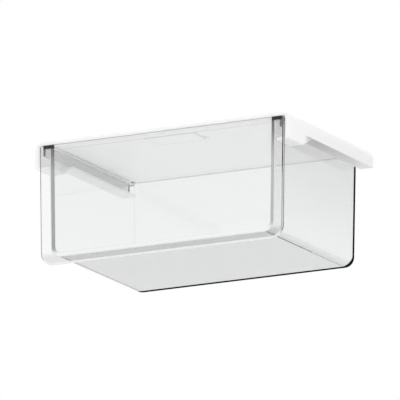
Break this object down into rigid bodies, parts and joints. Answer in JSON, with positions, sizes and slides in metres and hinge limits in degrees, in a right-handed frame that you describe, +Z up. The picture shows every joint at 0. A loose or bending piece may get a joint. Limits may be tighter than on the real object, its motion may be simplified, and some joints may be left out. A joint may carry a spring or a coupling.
{
  "type": "under-shelf drawer",
  "caption": "Clear open-topped drawer with a larger front panel that slides out of a white bracket taped under a shelf.",
  "frame": {"origin": "on the top face of the centre tape strip, midway across and along the bracket, where it meets the underside of a shelf", "axes": "+Z up towards the shelf, -Y the way the drawer opens, +X to the right seen from the front"},
  "size_m": [0.28, 0.182, 0.1261],
  "materials": {
    "white_plastic": "smooth white moulded plastic with a satin face",
    "clear_plastic": "clear, colourless, polished acrylic",
    "tape_foam": "soft white closed-cell foam with adhesive faces"
  },
  "bodies": {
    "bracket": {"mounting_bracket": "white_plastic", "tape_left": "tape_foam", "tape_centre": "tape_foam", "tape_right": "tape_foam"},
    "drawer": {"drawer_body": "clear_plastic", "front_panel": "clear_plastic"}
  },
  "joints": [
    {"name": "drawer_slide", "type": "slide", "parent": "bracket", "child": "drawer", "axis": [0, -1, 0], "range_m": [0, 0.129]}
  ]
}
